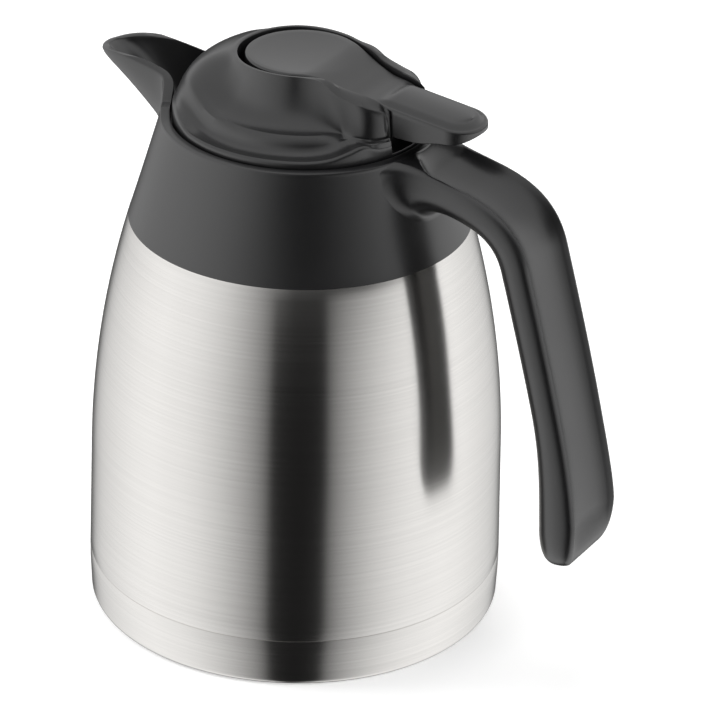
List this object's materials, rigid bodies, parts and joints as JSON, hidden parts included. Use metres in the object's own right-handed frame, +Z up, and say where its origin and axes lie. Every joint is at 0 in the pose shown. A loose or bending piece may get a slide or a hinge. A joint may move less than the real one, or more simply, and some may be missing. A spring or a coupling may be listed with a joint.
{
  "type": "thermal carafe",
  "caption": "Double-walled steel carafe with moulded shoulder, spout and open handle, twist-off lid and rocking thumb lever that lifts the pouring valve.",
  "frame": {"origin": "centre of the base ring, on the surface that the carafe stands on", "axes": "+Z up along the flask's axis, +X towards the handle, -X towards the spout"},
  "size_m": [0.1896, 0.1382, 0.1952],
  "materials": {
    "brushed_steel": "fine circumferential brushing, satin",
    "liner_steel": "plain drawn sheet",
    "foil": "bright foil",
    "getter_metal": "sintered pill",
    "black_shell": "satin moulded polypropylene",
    "dark_moulding": "matt moulded polypropylene",
    "silicone": "translucent silicone rubber",
    "stem_steel": "bright stainless wire and rod"
  },
  "bodies": {
    "flask": {"outer_shell": "brushed_steel", "base_cup": "brushed_steel", "inner_liner": "liner_steel", "radiation_foil": "foil", "getter": "getter_metal", "seal_cap": "liner_steel", "neck_gasket": "silicone", "shoulder": "black_shell", "throat_ring": "dark_moulding"},
    "stopper_seal": {"stopper_seal": "silicone"},
    "lid": {"stopper": "dark_moulding", "lid_cover": "black_shell", "stem_seal": "silicone", "lever_pin": "stem_steel", "valve_spring": "stem_steel"},
    "valve": {"valve_head": "dark_moulding", "valve_washer": "silicone", "valve_stem": "stem_steel", "cross_pin": "stem_steel"},
    "lever": {"lever": "black_shell"}
  },
  "joints": [
    {"name": "lid_lift", "type": "slide", "parent": "flask", "child": "stopper_seal", "axis": [0, 0, 1], "range_m": [0, 0.08]},
    {"name": "lid_turn", "type": "hinge", "parent": "stopper_seal", "child": "lid", "pos_m": [0, 0, 0.16], "axis": [0, 0, 1], "range_deg": [0, 90]},
    {"name": "lever_press", "type": "hinge", "parent": "lid", "child": "lever", "pos_m": [0.027, 0, 0.186], "axis": [0, 1, 0], "range_deg": [0, 12.4]},
    {"name": "valve_lift", "type": "slide", "parent": "lid", "child": "valve", "axis": [0, 0, 1], "range_m": [0, 0.00575], "stiffness_N_per_m": 120, "springref_m": -0.005, "deforming": ["valve_spring"]}
  ],
  "couplings": [
    {"joint": "lever_press", "follows": "valve_lift", "rad_per_m": 36.364}
  ]
}
